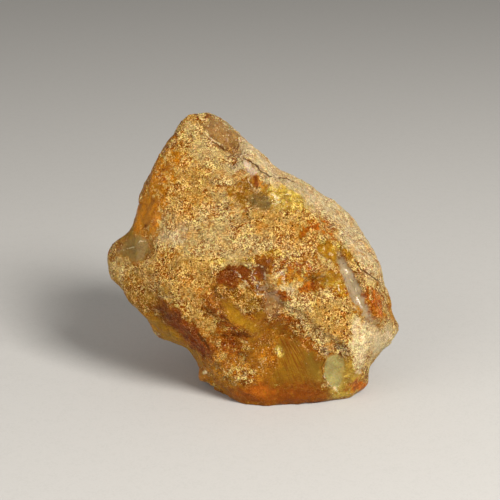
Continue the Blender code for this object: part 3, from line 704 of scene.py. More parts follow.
@dataclass(frozen=True)
class FineGrain:
    """The fine grain of a weathered surface: lumps, dust on them and dark pits, with bright flecks as
    painted glints.

    Lumps, dust, crumbs and flecks each have so many to a grain. Lumps and dust also have layers of finer
    ones, and how strong each layer is beside the last. A share is how much a kind adds to the tone, which
    says how deep or how high a point lies, and so where the copal's colour takes painted shade or a painted
    highlight. A range runs from where a thing begins to where it is full.
    """

    lumps: tuple[float, float, float] = (0.55, 6.0, 0.68)
    dust: tuple[float, float, float] = (3.0, 2.0, 0.6)
    crumbs: float = 2.4
    flecks: float = 1.6
    lump_share: float = 0.8
    dust_share: float = 2.0
    crumb_share: float = 0.6
    middle_tone: float = -1.7
    dust_in_cover: float = 0.45
    bare_level: float = 0.74
    cover_drop: float = -0.46
    rind_edge: float = 0.03
    rind_rise: float = 0.35
    slow: tuple[float, float, float] = (0.45, 2.0, 0.5)
    calm_range: tuple[float, float] = (0.40, 0.60)
    contrast: tuple[float, float] = (1.1, 0.5)
    # the tone ranges that the copal paints as shade and as highlights
    deep_range: tuple[float, float] = (0.02, -0.24)
    crest_range: tuple[float, float] = (0.05, 0.36)
    shake: float = 0.28
    pit_size: tuple[float, float] = (0.20, 0.17)
    pit_edge: float = 0.07
    pit_drift: float = 1.8
    pit_chance: tuple[float, float] = (0.50, 0.44)
    glint_range: tuple[float, float] = (0.36, 0.24)

    def group(self) -> bpy.types.NodeTree:
        """The grain as a group of shader nodes.

        Returns:
            A group that takes a place in millimetres, how many grains there are in each, and the share
            of the surface that the rind covers. It puts out a mask of the rind, the height of its
            grain, how deep or how high each point lies in that, which the copal paints as shade and
            highlight, the pits that hold dirt, and bright flecks, which it paints as glints, with how
            likely each is.
        """
        inputs = {"Place": None, "Grains per mm": 2.5, "Cover": 0.5}
        outputs = ("Mask", "Height", "Deep", "Crest", "Speck", "Fleck", "Chance")
        group = new_group("fine_grain", inputs, outputs)
        wiring = Wiring(group)
        place, per_mm, cover = group.nodes["Group Input"].outputs[:3]
        ends = group.nodes["Group Output"].inputs

        fine = wiring.product(per_mm, self.dust[0])
        lumps = wiring.noise(place, wiring.product(per_mm, self.lumps[0]), *self.lumps[1:])
        dust = wiring.noise(place, fine, *self.dust[1:])
        least = wiring.math("MULTIPLY_ADD", cover, self.cover_drop, self.bare_level)
        dusty = wiring.math("SUBTRACT", dust, 0.5)
        level = wiring.math("MULTIPLY_ADD", dusty, self.dust_in_cover, lumps)
        mask = wiring.ramp(wiring.math("SUBTRACT", level, least), -self.rind_edge, self.rind_edge)
        wiring.give(ends["Mask"], mask)

        crumb = self.cells(wiring, place, wiring.product(per_mm, self.crumbs))[1][0]
        tone = wiring.math("MULTIPLY_ADD", lumps, self.lump_share, self.middle_tone)
        tone = wiring.math("MULTIPLY_ADD", dust, self.dust_share, tone)
        tone = wiring.math("MULTIPLY_ADD", crumb, self.crumb_share, tone)
        slow = wiring.noise(place, *self.slow)
        strong = wiring.ramp(slow, *self.calm_range, *self.contrast)
        # Deep and Crest, which the copal paints as shade and highlights
        for name, span in (("Deep", self.deep_range), ("Crest", self.crest_range)):
            wiring.give(ends[name], wiring.product(wiring.ramp(tone, *span), strong))

        shaken = wiring.add("TexNoise", Vector=place, Scale=fine, Detail=1.0).outputs["Color"]
        loose = wiring.vector("MULTIPLY_ADD", shaken, (self.shake,) * 3, place).outputs[0]
        far, random = self.cells(wiring, loose, per_mm)
        broad = wiring.math("MULTIPLY_ADD", random[1], *self.pit_size)
        pit = wiring.ramp(wiring.math("SUBTRACT", far, broad), self.pit_edge, -self.pit_edge)
        often = wiring.math("MULTIPLY_ADD", wiring.math("SUBTRACT", slow, 0.5), self.pit_drift, random[0])
        pit = wiring.product(pit, wiring.ramp(often, *self.pit_chance))
        wiring.give(ends["Speck"], pit)
        rise = wiring.math("MULTIPLY_ADD", mask, self.rind_rise, wiring.product(lumps, self.lump_share))
        wiring.give(ends["Height"], wiring.math("SUBTRACT", wiring.math("ADD", tone, rise), pit))

        # bright flecks, which the copal paints as glints
        far, random = self.cells(wiring, loose, wiring.product(per_mm, self.flecks))
        wiring.give(ends["Fleck"], wiring.ramp(far, *self.glint_range))
        wiring.give(ends["Chance"], random[2])
        return group

    def cells(
        self, wiring: Wiring, place: Given, scale: Given
    ) -> tuple[bpy.types.NodeSocket, list[bpy.types.NodeSocket]]:
        """How far the middle of its scattered cell is, and three values that differ from cell to cell."""
        cell = wiring.add("TexVoronoi", Vector=place, Scale=scale).outputs
        return cell["Distance"], list(wiring.add("SeparateColor", Color=cell["Color"]).outputs)


@dataclass(frozen=True)
class FineLine:
    """A fine straight line, full within a share of its width."""

    core: float = 0.4

    def group(self) -> bpy.types.NodeTree:
        """The line as a group of shader nodes.

        Returns:
            A group that takes a place across and up, the middle of the line, the way that it runs, half
            of its length and half of its width. It puts out a mask of the line.
        """
        inputs = {"Place": None, "Middle": None, "Way": None, "Half Length": 1.0, "Half Width": 0.1}
        group = new_group("hairline", inputs, ("Mask",))
        wiring = Wiring(group)
        place, middle, way, half_length, half_width = group.nodes["Group Input"].outputs[:5]
        away = wiring.vector("SUBTRACT", place, middle).outputs[0]
        along = wiring.math("ABSOLUTE", wiring.vector("DOT_PRODUCT", away, way).outputs["Value"])
        past = wiring.math("SUBTRACT", along, half_length)
        across = wiring.vector("CROSS_PRODUCT", away, way).outputs[0]
        beside = wiring.vector("LENGTH", across).outputs["Value"]
        far = wiring.math("MAXIMUM", past, beside)
        mask = wiring.ramp(far, half_width, wiring.product(half_width, self.core))
        wiring.give(group.nodes["Group Output"].inputs["Mask"], mask)
        return group


def new_material(name: str) -> tuple[bpy.types.Material, Wiring, bpy.types.Node, bpy.types.Node]:
    """A new material.

    Args:
        name: its name.

    Returns:
        The material, its wiring, its own shader and its output node.
    """
    material = bpy.data.materials.new(name)
    material.use_nodes = True
    tree = material.node_tree
    tree.nodes.clear()
    shader = tree.nodes.new("ShaderNodeBsdfPrincipled")
    out = tree.nodes.new("ShaderNodeOutputMaterial")
    tree.links.new(shader.outputs[0], out.inputs["Surface"])
    return material, Wiring(tree), shader, out


def place_in_mm(wiring: Wiring) -> bpy.types.NodeSocket:
    """The place on the object, in millimetres."""
    place = wiring.add("TexCoord").outputs["Object"]
    return wiring.add("Mapping", Vector=place, Scale=(1 / MM,) * 3).outputs[0]


@dataclass(frozen=True)
class SkinNodes:
    """What the shader reads at a point of the skin.

    Its place is in millimetres, in the object's frame. Its masks say how glossy it is, how much painted
    shade it takes in hollows and creases, how dirty it is, how it sparkles with painted glints and small
    facets, and how grainy it is; where streaks run over it, where it is cracked, and where a break has a
    pale lip, partly a painted highlight along its edge. The grain is what the group puts out.
    """

    mm: bpy.types.NodeSocket
    gloss: bpy.types.NodeSocket
    hollow_shade: bpy.types.NodeSocket
    dirty: bpy.types.NodeSocket
    glinting: bpy.types.NodeSocket
    grainy: bpy.types.NodeSocket
    streaks: bpy.types.NodeSocket
    cracks: bpy.types.NodeSocket
    lips_and_highlights: bpy.types.NodeSocket
    grain: bpy.types.bpy_prop_collection


@dataclass(frozen=True)
class CopalFinish:
    """The resin and its rind: one shader, glossy where the resin is bare, matt under the rind.

    Lengths are in millimetres. A strength is how much of a tint a mark takes on where it is full. A noise
    has its features per millimetre, its finer layers, and how strong each is beside the last.
    """

    # the resin's body
    transmission: float = 0.35
    ior: float = 1.54
    specular: float = 0.03
    reflected: Tint = Tint.LUSTRE
    scattering: float = 0.42
    scatter_far: tuple[float, float, float] = (1.0, 0.42, 0.10)
    scatter_scale: float = 0.8
    absorbed: Tint = Tint.GLOW
    absorbing: float = 140.0
    # how smooth it is
    rind_roughness: float = 0.74
    resin_roughness: float = 0.40
    clear_roughness: float = 0.13
    coat_roughness: float = 0.12
    coat_lost: float = 0.8
    smears: tuple[float, float, float] = (1.6, 3.0, 0.5)
    smeared: float = 0.14
    # its relief
    relief: float = 0.15
    waves: tuple[float, float, float] = (1.2, 3.0, 0.5)
    wave_height: float = 0.3
    splinters_per_mm: float = 1.7
    splinter_height: float = 2.6
    streak_height: float = 0.35
    crack_height: float = -1.5
    lip_height: float = 0.8
    # the rind's colour
    cloud: Mottle = Mottle(1.1, 4.0, 0.65, 0.32, 0.68)
    cloud_shades: tuple[float, float] = (0.74, 1.24)
    stain: Mottle = Mottle(0.62, 8.0, 0.74, 0.48, 0.60)
    stain_strength: float = 0.85
    spots: Mottle = Mottle(1.5, 5.0, 0.70, 0.58, 0.66)
    spots_moved: tuple[float, float, float] = (7.0, 3.0, 5.0)
    spot_strength: float = 0.8
    # the bare resin's colour
    haze: Mottle = Mottle(0.8, 5.0, 0.62, 0.3, 0.7)
    haze_spread: tuple[float, float] = (0.55, 0.22)
    swirls: tuple[float, float, float, float] = (1.3, 5.0, 0.7, 0.6)
    rusty_range: tuple[float, float] = (0.50, 0.40)
    golden_range: tuple[float, float] = (0.54, 0.64)
    hue_strength: float = 0.7
    streak_strength: float = 0.9
    streaks_from: tuple[float, float] = (-1.0, 0.0)
    streaks_round: float = 76.0
    streak_length: float = 0.3
    streak_noise: tuple[float, float, float] = (1.0, 2.0, 0.5)
    streak_range: tuple[float, float] = (0.42, 0.60)
    # the grain and the marks on both, with the grain's painted shade and highlights and the painted glints
    grains_per_mm: float = 2.3
    grain_highlight_on_rind: tuple[float, float] = (0.85, 0.15)
    glint_luck: float = 0.45
    glint_range: tuple[float, float] = (1.0, 1.08)
    glint_strength: float = 0.85
    crack_strength: float = 0.8
    lip_highlight_strength: float = 0.75
    lip_gaps: Mottle = Mottle(1.4, 3.0, 0.6, 0.46, 0.56)
    crooked: float = 0.5
    crooks_per_mm: float = 1.8
    lines_end: float = 1.0

    def make(self, grain: bpy.types.NodeTree, hairline: bpy.types.NodeTree) -> bpy.types.Material:
        """The material.

        Args:
            grain: the group that gives the fine grain.
            hairline: the group that gives one fine line.

        Returns:
            The finished material, which reads the skin's tints and masks.
        """
        material, wiring, shader, out = new_material("copal")
        skin = self.read_skin(wiring, grain, hairline)
        wiring.give(shader.inputs["Base Color"], self.color(wiring, skin))
        wiring.give(shader.inputs["Roughness"], self.roughness(wiring, skin))
        height = self.height(wiring, skin)
        bump = wiring.add("Bump", Height=height, Strength=1.0, Distance=self.relief * MM)
        wiring.give(shader.inputs["Normal"], bump.outputs[0])
        wet = wiring.math("SUBTRACT", 1.0, wiring.product(skin.grain["Mask"], self.coat_lost))
        wiring.give(shader.inputs["Coat Weight"], wiring.math("MULTIPLY", skin.gloss, wet, clamp=True))
        plain = {
            "Metallic": 0.0,
            "IOR": self.ior,
            "Specular IOR Level": self.specular,
            "Specular Tint": self.reflected.rgba(),
            "Coat Roughness": self.coat_roughness,
            "Transmission Weight": self.transmission,
            "Subsurface Weight": self.scattering,
            "Subsurface Radius": self.scatter_far,
            "Subsurface Scale": self.scatter_scale * MM,
        }
        for name, value in plain.items():
            shader.inputs[name].default_value = value
        inside = wiring.add("VolumeAbsorption", Color=self.absorbed, Density=self.absorbing)
        wiring.give(out.inputs["Volume"], inside.outputs[0])
        return material

    def read_skin(
        self, wiring: Wiring, grain: bpy.types.NodeTree, hairline: bpy.types.NodeTree
    ) -> SkinNodes:
        """Reads the places, the painted masks and the grain.

        Args:
            wiring: the material's nodes.
            grain: the group that gives the fine grain.
            hairline: the group that gives one fine line.

        Returns:
            What the rest of the material is made from.
        """
        mm = place_in_mm(wiring)
        own = self.own_frame(wiring, mm)
        skin = wiring.add("Attribute", {"attribute_name": "skin"}).outputs["Color"]
        cover, gloss, hollow_shade = wiring.add("SeparateColor", Color=skin).outputs
        marks = wiring.add("Attribute", {"attribute_name": "marks"}).outputs
        streaked, dirty, glinting = wiring.add("SeparateColor", Color=marks["Color"]).outputs
        grains = wiring.add(
            "Group", {"node_tree": grain}, Place=mm, Grains_per_mm=self.grains_per_mm, Cover=cover
        )
        return SkinNodes(
            mm,
            gloss,
            hollow_shade,
            dirty,
            glinting,
            grainy=marks["Alpha"],
            streaks=wiring.product(self.streaks(wiring, own), streaked),
            cracks=self.hairlines(wiring, own, hairline, False),
            lips_and_highlights=self.hairlines(wiring, own, hairline, True),
            grain=grains.outputs,
        )

    def own_frame(self, wiring: Wiring, mm: bpy.types.NodeSocket) -> bpy.types.NodeSocket:
        """Turns a place into the stone's own frame.

        Args:
            wiring: the material's nodes.
            mm: the place in the object's frame.

        Returns:
            The place across, up and out.
        """
        c, s = cos(VIEW_TILT), sin(VIEW_TILT)
        x, y, z = STONE_MIDDLE
        turned = wiring.add("Mapping", Vector=mm, Rotation=(VIEW_TILT - radians(90.0), 0.0, 0.0))
        turned.inputs["Location"].default_value = (-x, -(s * y + c * z), c * y - s * z)
        return turned.outputs[0]

    def hairlines(
        self, wiring: Wiring, own: bpy.types.NodeSocket, hairline: bpy.types.NodeTree, pale: bool
    ) -> bpy.types.NodeSocket:
        """A mask of the fine lines of one kind, a little crooked.

        Args:
            wiring: the material's nodes.
            own: the place in the stone's own frame.
            hairline: the group that gives one fine line.
            pale: whether the pale lines are meant.

        Returns:
            The mask, which is empty on the back.
        """
        out = wiring.add("SeparateXYZ", Vector=own).outputs[2]
        nearer = wiring.math("DIVIDE", EYE[2], wiring.math("SUBTRACT", EYE[2], out))
        from_eye = wiring.add("VectorMath", {"operation": "SCALE"}, Scale=nearer)
        wiring.give(from_eye.inputs[0], wiring.vector("SUBTRACT", own, EYE).outputs[0])
        seen = wiring.vector("ADD", from_eye.outputs[0], EYE).outputs[0]
        shake = wiring.add("TexNoise", Vector=own, Scale=self.crooks_per_mm, Detail=2.0).outputs["Color"]
        both_ways = (self.crooked, self.crooked, 0.0)
        crooked = wiring.vector("MULTIPLY_ADD", shake, both_ways, seen).outputs[0]
        across, up, _ = wiring.add("SeparateXYZ", Vector=crooked).outputs
        flat = wiring.add("CombineXYZ", X=across, Y=up).outputs[0]
        # the noise is round a half, so this is what it adds on average
        shift = Vector(both_ways) / 2.0
        masks = []
        for line in (line for line in HAIRLINES if line.pale == pale):
            for start, end in zip(line.points, line.points[1:]):
                first, last = Vector((*start, 0.0)), Vector((*end, 0.0))
                stretch = wiring.add(
                    "Group",
                    {"node_tree": hairline},
                    Place=flat,
                    Middle=(first + last) / 2.0 + shift,
                    Way=(last - first).normalized(),
                    Half_Length=(last - first).length / 2.0 + line.width,
                    Half_Width=line.width,
                )
                masks.append(stretch.outputs[0])
        mask = reduce(lambda one, other: wiring.math("MAXIMUM", one, other), masks)
        return wiring.product(mask, wiring.ramp(out, -self.lines_end, self.lines_end))

    def streaks(self, wiring: Wiring, own: bpy.types.NodeSocket) -> bpy.types.NodeSocket:
        """Fine lines that fan out across a break from where it was struck.

        Args:
            wiring: the material's nodes.
            own: the place in the stone's own frame.

        Returns:
            A mask of the lines.
        """
        across, up, _ = wiring.add("SeparateXYZ", Vector=own).outputs
        right = wiring.math("SUBTRACT", across, self.streaks_from[0])
        above = wiring.math("SUBTRACT", up, self.streaks_from[1])
        angle = wiring.product(wiring.math("ARCTAN2", above, right), self.streaks_round)
        flat = wiring.add("CombineXYZ", X=right, Y=above).outputs[0]
        far = wiring.product(wiring.vector("LENGTH", flat).outputs["Value"], self.streak_length)
        fan = wiring.add("CombineXYZ", X=angle, Y=far).outputs[0]
        return wiring.ramp(wiring.noise(fan, *self.streak_noise), *self.streak_range)

    def color(self, wiring: Wiring, skin: SkinNodes) -> bpy.types.NodeSocket:
        """The colour of the surface, with the marks on it.

        Args:
            wiring: the material's nodes.
            skin: what it reads from the skin.

        Returns:
            The colour.
        """
        grain = skin.grain
        color = wiring.mix(grain["Mask"], self.resin_color(wiring, skin), self.rind_color(wiring, skin))
        # painted shade in the grain's low points, and painted highlights on its high points, partly pale
        # crumbs
        color = wiring.mix(wiring.product(grain["Deep"], skin.grainy), color, Tint.GRAIN_SHADE, "MULTIPLY")
        on_rind = wiring.math("MULTIPLY_ADD", grain["Mask"], *self.grain_highlight_on_rind)
        grain_highlight = wiring.product(grain["Crest"], skin.grainy, on_rind)
        color = wiring.mix(grain_highlight, color, Tint.GRAIN_HIGHLIGHT, "ADD")
        color = wiring.mix(wiring.product(grain["Speck"], skin.dirty), color, Tint.SPECK)
        likely = wiring.math("MULTIPLY_ADD", skin.glinting, self.glint_luck, grain["Chance"])
        lucky = wiring.ramp(likely, *self.glint_range)
        gaps = wiring.mottle(skin.mm, self.lip_gaps)
        marks = (
            # painted glints: chalk flecks, most where the skin sparkles
            (wiring.product(grain["Fleck"], lucky, self.glint_strength), Tint.CHALK),
            # painted shade: dark brown in hollows and creases
            (skin.hollow_shade, Tint.DARK_BROWN),
            (wiring.product(skin.cracks, self.crack_strength), Tint.DARK_BROWN),
            # pale lines: cream lips of breaks, partly painted highlights along their edges
            (wiring.product(skin.lips_and_highlights, gaps, self.lip_highlight_strength), Tint.CHALK),
        )
        for share, tint in marks:
            color = wiring.mix(share, color, tint)
        return color

    def rind_color(self, wiring: Wiring, skin: SkinNodes) -> bpy.types.NodeSocket:
        """The colour of the rind, which varies from spot to spot and is stained where it is dirty.

        Args:
            wiring: the material's nodes.
            skin: what it reads from the skin.

        Returns:
            The colour.
        """
        tint = wiring.add("Attribute", {"attribute_name": "rind"}).outputs["Color"]
        cloud = wiring.noise(skin.mm, self.cloud.per_mm, self.cloud.layers, self.cloud.strength)
        shade = wiring.ramp(cloud, self.cloud.begins, self.cloud.full, *self.cloud_shades)
        color = wiring.mix(1.0, tint, wiring.grey(shade), "MULTIPLY")
        stain = wiring.product(wiring.mottle(skin.mm, self.stain), skin.dirty, self.stain_strength)
        color = wiring.mix(stain, color, Tint.ORANGE)
        moved = wiring.add("Mapping", Vector=skin.mm, Location=self.spots_moved).outputs[0]
        spots = wiring.product(wiring.mottle(moved, self.spots), skin.dirty, self.spot_strength)
        return wiring.mix(spots, color, Tint.RUST)

    def resin_color(self, wiring: Wiring, skin: SkinNodes) -> bpy.types.NodeSocket:
        """The colour of the bare resin: cloudy and streaked, and rusty or golden in spots where rough.

        Args:
            wiring: the material's nodes.
            skin: what it reads from the skin.

        Returns:
            The colour.
        """
        tint = wiring.add("Attribute", {"attribute_name": "resin"}).outputs["Color"]
        haze = wiring.math("SUBTRACT", wiring.mottle(skin.mm, self.haze), 0.5)
        spread = wiring.math("MULTIPLY_ADD", skin.grainy, *self.haze_spread)
        shade = wiring.grey(wiring.math("MULTIPLY_ADD", haze, spread, 1.0))
        color = wiring.mix(1.0, tint, shade, "MULTIPLY")
        settings = dict(zip(("Scale", "Detail", "Roughness", "Distortion"), self.swirls))
        hue = wiring.add("TexNoise", Vector=skin.mm, **settings).outputs[0]
        for span, tone in ((self.rusty_range, Tint.RUST), (self.golden_range, Tint.GOLD)):
            share = wiring.product(wiring.ramp(hue, *span), skin.grainy, self.hue_strength)
            color = wiring.mix(share, color, tone)
        return wiring.mix(wiring.product(skin.streaks, self.streak_strength), color, Tint.RUST)

    def roughness(self, wiring: Wiring, skin: SkinNodes) -> bpy.types.NodeSocket:
        """How rough the surface is: matt on the rind, smooth on a clear break, a little smeared.

        Args:
            wiring: the material's nodes.
            skin: what it reads from the skin.

        Returns:
            The roughness.
        """
        bare = wiring.ramp(skin.gloss, 0.0, 1.0, self.resin_roughness, self.clear_roughness)
        smears = wiring.noise(skin.mm, *self.smears)
        least = wiring.math("SUBTRACT", bare, self.smeared / 2.0)
        bare = wiring.math("MULTIPLY_ADD", smears, self.smeared, least)
        return wiring.ramp(skin.grain["Mask"], 0.0, 1.0, bare, self.rind_roughness)

    def height(self, wiring: Wiring, skin: SkinNodes) -> bpy.types.NodeSocket:
        """The relief: grain, faint waves, small facets where it glints, streaks, cracks and the raised pale
        lines.

        Args:
            wiring: the material's nodes.
            skin: what it reads from the skin.

        Returns:
            The height, as a share of the relief.
        """
        height = wiring.product(skin.grain["Height"], skin.grainy)
        chips = wiring.product(self.splinters(wiring, skin.mm), skin.glinting)
        forms = (
            (wiring.noise(skin.mm, *self.waves), self.wave_height),
            (chips, self.splinter_height),
            (skin.streaks, self.streak_height),
            (skin.lips_and_highlights, self.lip_height),
            (skin.cracks, self.crack_height),
        )
        for form, tall in forms:
            height = wiring.math("MULTIPLY_ADD", form, tall, height)
        return height

    def splinters(self, wiring: Wiring, mm: bpy.types.NodeSocket) -> bpy.types.NodeSocket:
        """The height of small flat facets, each tilted its own way.

        Args:
            wiring: the material's nodes.
            mm: the place in millimetres.

        Returns:
            The height, round zero.
        """
        cells = wiring.add("TexVoronoi", Vector=mm, Scale=self.splinters_per_mm)
        away = wiring.vector("SUBTRACT", mm, cells.outputs["Position"]).outputs[0]
        slope = wiring.vector("SUBTRACT", cells.outputs["Color"], (0.5, 0.5, 0.5)).outputs[0]
        flat = wiring.vector("DOT_PRODUCT", away, slope).outputs["Value"]
        return wiring.product(flat, self.splinters_per_mm)


@dataclass(frozen=True)
class FloorFinish:
    """Pale, matt board, with a trace of grain: its grey on the level, and deep in the grain."""

    roughness: float = 0.85
    grains_per_mm: float = 1.5
    greys: tuple[float, float] = (0.46, 0.44)

    def make(self, grain: bpy.types.NodeTree) -> bpy.types.Material:
        """The material.

        Args:
            grain: the group that gives the fine grain.

        Returns:
            The finished material.
        """
        material, wiring, shader, _ = new_material("pale_board")
        grains = wiring.add(
            "Group", {"node_tree": grain}, Place=place_in_mm(wiring), Grains_per_mm=self.grains_per_mm
        )
        faint = wiring.ramp(grains.outputs["Deep"], 0.0, 1.0, *self.greys)
        wiring.give(shader.inputs["Base Color"], wiring.grey(faint))
        shader.inputs["Roughness"].default_value = self.roughness
        return material


@dataclass
class CopalLump:
    """The stone itself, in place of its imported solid.

    Lengths are in millimetres. A noise has its features per millimetre, what moves it, and its layers.
    """

    # how fine the mesh is
    voxel: float = 0.24
    smoothing: int = 3
    # the noises that make the patches' edges ragged, and how strong the second is
    ragged_noise: tuple[float, float, int] = (0.45, 3.0, 5)
    crumbly_noise: tuple[float, float, int] = (1.7, 8.0, 3)
    crumbly: float = 0.6
    # its relief: grain, facets with how many there are per millimetre and how tall, and sunken breaks
    grain_noise: tuple[float, float, int] = (1.5, 11.0, 3)
    grain_height: float = 0.045
    facet_heights: tuple[tuple[float, float], ...] = ((0.42, 0.17), (1.1, 0.08))
    facets_moved: float = 5.0
    sunk_edge: float = 0.14
    still_height: float = 0.6
    calming: int = 84
    # what is painted where no patch says otherwise: streaks, dirt, glints and grain
    slow_noise: tuple[float, float, int] = (0.2, 21.0, 3)
    rust_from: float = 0.5
    tan_from: float = 0.4
    plain_crust: float = 0.62
    crust_drift: float = 0.2
    plain_marks: tuple[float, float, float, float] = (0.0, 0.4, 0.1, 1.0)
    # the painted shade in hollows and creases: over how many points, how fast, and how much at most
    hollow_shade_reach: int = 5
    hollow_shade_strength: float = 3.0
    hollow_shade_most: float = 0.14
    finish: CopalFinish = field(default_factory=CopalFinish)

    def build(self, solid: bpy.types.Object) -> bpy.types.Object:
        """The fine stone.

        Args:
            solid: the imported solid, which is only read.

        Returns:
            The new object, with its relief in its mesh and its tints and masks in attributes.
        """
        stone = bpy.data.objects.new("copal_stone", solid.data.copy())
        bpy.context.scene.collection.objects.link(stone)
        remesh = stone.modifiers.new("remesh", "REMESH")
        remesh.mode, remesh.voxel_size = "VOXEL", self.voxel * MM
        smooth = stone.modifiers.new("smooth", "SMOOTH")
        smooth.factor, smooth.iterations = 0.5, self.smoothing
        graph = bpy.context.evaluated_depsgraph_get()
        mesh = bpy.data.meshes.new_from_object(stone.evaluated_get(graph))
        stone.modifiers.clear()
        stone.data = mesh
        skin = self.read(mesh)
        rough = noise_at(skin.places, *self.ragged_noise)
        rough += self.crumbly * noise_at(skin.places, *self.crumbly_noise)
        rough /= rough.std()
        self.raise_relief(mesh, skin, rough)
        self.paint(mesh, skin, rough)
        mesh.shade_smooth()
        return stone

    def read(self, mesh: bpy.types.Mesh) -> Skin:
        """Reads the mesh as a skin.

        Args:
            mesh: the fine mesh.

        Returns:
            Its points, normals and edges.
        """
        count = len(mesh.vertices)
        places, normals = np.empty(count * 3, np.float32), np.empty(count * 3, np.float32)
        edges = np.empty(len(mesh.edges) * 2, np.int32)
        mesh.vertices.foreach_get("co", places)
        mesh.vertex_normals.foreach_get("vector", normals)
        mesh.edges.foreach_get("vertices", edges)
        places = places.reshape(-1, 3).astype(float) / MM
        return Skin(places, normals.reshape(-1, 3).astype(float), edges.reshape(-1, 2))

    def raise_relief(self, mesh: bpy.types.Mesh, skin: Skin, rough: np.ndarray) -> None:
        """Smooths the calm breaks, then works the grain, small facets and sunken breaks into the mesh.

        Args:
            mesh: the mesh to change.
            skin: its points before the change.
            rough: the noise that makes the patches' edges ragged.
        """
        rugged = np.ones(len(skin.places))
        sunk, calm = np.zeros(len(skin.places)), np.zeros(len(skin.places))
        for patch in PATCHES:
            inside = skin.inside(patch, rough)
            weight = skin.under(patch, inside)
            rugged += (patch.rugged - rugged) * weight
            calm += (patch.calm - calm) * weight
            deep = patch.sunk * eased(inside / self.sunk_edge + 0.5) * skin.facing(patch.side)
            sunk = np.maximum(sunk, deep)
        height = self.grain_height * noise_at(skin.places, *self.grain_noise)
        for scale, tall in self.facet_heights:
            height += tall * facets_at(skin.places, scale, self.facets_moved * scale)
        lifted = eased(skin.places[:, 2] / self.still_height)
        height = (height * rugged - sunk) * lifted
        smoothed = skin.spread(skin.places, self.calming) - skin.places
        places = skin.places + smoothed * (calm * lifted)[:, None]
        places = (places + skin.normals * height[:, None]) * MM
        places[:, 2] = np.maximum(places[:, 2], 0.0)
        mesh.vertices.foreach_set("co", places.astype(np.float32).ravel())
        mesh.update()

    def paint(self, mesh: bpy.types.Mesh, skin: Skin, rough: np.ndarray) -> None:
        """Writes the tints of rind and resin, and the masks.

        Args:
            mesh: the mesh to write to.
            skin: its points before its relief was raised.
            rough: the noise that makes the patches' edges ragged.
        """
        count = len(skin.places)
        slow = noise_at(skin.places, *self.slow_noise)
        resin = np.repeat(Tint.ORANGE.linear()[None, :], count, axis=0)
        resin += (Tint.RUST.linear() - resin) * eased(self.rust_from + slow)[:, None]
        rind = np.repeat(Tint.CREAM.linear()[None, :], count, axis=0)
        rind += (Tint.TAN.linear() - rind) * eased(self.tan_from - slow)[:, None]
        crust, gloss = self.plain_crust + self.crust_drift * slow, np.zeros(count)
        marks = np.tile(self.plain_marks, (count, 1))
        for patch in PATCHES:
            weight = skin.under(patch, skin.inside(patch, rough))
            resin += (patch.resin.linear() - resin) * weight[:, None]
            if patch.rind:
                rind += (patch.rind.linear() - rind) * weight[:, None]
            crust += (patch.crust - crust) * weight
            gloss += (patch.gloss - gloss) * weight
            its_marks = np.array((patch.streak, patch.speck, patch.glint, patch.grain))
            marks += (its_marks - marks) * weight[:, None]
            log.debug("%s: %d points", patch.name, np.count_nonzero(weight > 0.5))
        # painted shade in hollows and creases: the further a point lies below the skin round it, the more
        # it takes
        hollow_shade = np.clip(skin.hollowness(self.hollow_shade_reach) * self.hollow_shade_strength, 0.0, self.hollow_shade_most)
        self.write(mesh, "resin", resin)
        self.write(mesh, "rind", rind)
        self.write(mesh, "skin", np.clip(np.column_stack([crust, gloss, hollow_shade]), 0.0, 1.0))
        self.write(mesh, "marks", marks[:, :3], marks[:, 3])

    def write(
        self, mesh: bpy.types.Mesh, name: str, columns: np.ndarray, last: np.ndarray | float = 1.0
    ) -> None:
        """Stores values as a colour attribute.

        Args:
            mesh: the mesh to write to.
            name: the attribute's name.
            columns: three values for each point.
            last: one more for each, or for all, kept as its alpha.
        """
        layer = mesh.color_attributes.new(name, "FLOAT_COLOR", "POINT")
        values = np.column_stack([columns, np.broadcast_to(last, len(columns))]).astype(np.float32)
        layer.data.foreach_set("color", values.ravel())

    def dress(
        self, stone: bpy.types.Object, grain: bpy.types.NodeTree, hairline: bpy.types.NodeTree
    ) -> None:
        """Gives the stone its one material, puts it under the root body, and hides the imported solid.

        Args:
            stone: the fine stone.
            grain: the group that gives the fine grain.
            hairline: the group that gives one fine line.
        """
        stone.data.materials.clear()
        stone.data.materials.append(self.finish.make(grain, hairline))
        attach(stone, "root")
        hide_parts(SOLID)


@dataclass(frozen=True)
class SoftBox:
    """A square, even light, with its place and its side in metres."""

    name: str
    place: tuple[float, float, float]
    side: float
    watts: float


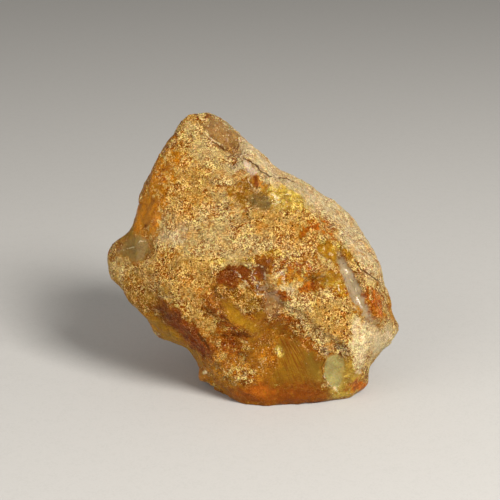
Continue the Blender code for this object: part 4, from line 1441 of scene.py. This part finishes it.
@dataclass
class Studio:
    """A pale floor, soft light and the camera. Lengths here are in metres."""

    floor_side: float = 3.0
    lens: float = 100.0
    frame_width: float = 0.070
    aim_shift: tuple[float, float] = (-0.00056, 0.00168)
    warmth: tuple[float, float, float] = (1.0, 0.95, 0.87)
    room_light: float = 0.33
    lit: tuple[float, float, float] = (0.0, 0.0, 0.015)
    key: SoftBox = SoftBox("key", (0.20, -0.26, 0.28), 0.16, 2.9)
    fill: SoftBox = SoftBox("fill", (-0.34, -0.30, 0.18), 0.4, 1.1)
    finish: FloorFinish = field(default_factory=FloorFinish)

    def lay_floor(self, grain: bpy.types.NodeTree) -> bpy.types.Object:
        """Lays a wide, level board under the stone.

        Args:
            grain: the group that gives the fine grain.

        Returns:
            The board.
        """
        bpy.ops.mesh.primitive_plane_add(size=self.floor_side)
        floor = bpy.context.object
        floor.name = "floor"
        floor.data.materials.append(self.finish.make(grain))
        return floor

    def light(self) -> None:
        """A broad key from the upper right, a weaker fill from the left, and an even room."""
        world = bpy.data.worlds.new("room")
        bpy.context.scene.world = world
        world.use_nodes = True
        background = world.node_tree.nodes["Background"]
        background.inputs["Color"].default_value = self.warmth + (1.0,)
        background.inputs["Strength"].default_value = self.room_light
        for box in (self.key, self.fill):
            self.hang(box)

    def hang(self, box: SoftBox) -> None:
        """Hangs one soft box, turned to the stone.

        Args:
            box: the soft box.
        """
        data = bpy.data.lights.new(box.name, "AREA")
        data.size, data.energy, data.color = box.side, box.watts, self.warmth
        lamp = bpy.data.objects.new(box.name, data)
        bpy.context.scene.collection.objects.link(lamp)
        lamp.location = box.place
        lamp.rotation_euler = (Vector(self.lit) - lamp.location).to_track_quat("-Z", "Y").to_euler()

    def stand_camera(self) -> None:
        """A long lens a little above the stone, looking down at it."""
        data = bpy.data.cameras.new("camera")
        data.lens = self.lens
        camera = bpy.data.objects.new("camera", data)
        bpy.context.scene.collection.objects.link(camera)
        half_view = atan(data.sensor_width / 2.0 / self.lens)
        away = self.frame_width / 2.0 / tan(half_view)
        back = Vector((0.0, -cos(VIEW_TILT), sin(VIEW_TILT)))
        up = Vector((0.0, sin(VIEW_TILT), cos(VIEW_TILT)))
        aim = Vector(STONE_MIDDLE) * MM + Vector((self.aim_shift[0], 0.0, 0.0)) + up * self.aim_shift[1]
        camera.location = aim + back * away
        camera.rotation_euler = (-back).to_track_quat("-Z", "Y").to_euler()
        bpy.context.scene.camera = camera
        bpy.context.scene.view_settings.view_transform = "Standard"


def main() -> None:
    """Builds the stone and the studio round it."""
    logging.basicConfig(level=logging.INFO, format="%(name)s: %(message)s")
    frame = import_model()
    grain = FineGrain().group()
    lump = CopalLump()
    stone = lump.build(frame["nodes"][SOLID])
    lump.dress(stone, grain, FineLine().group())
    stone.data.calc_loop_triangles()
    log.info("%s: %d triangles", stone.name, len(stone.data.loop_triangles))
    studio = Studio()
    floor = studio.lay_floor(grain)
    studio.light()
    studio.stand_camera()
    log.info("%s and lights are set", floor.name)


if __name__ == "__main__":
    main()
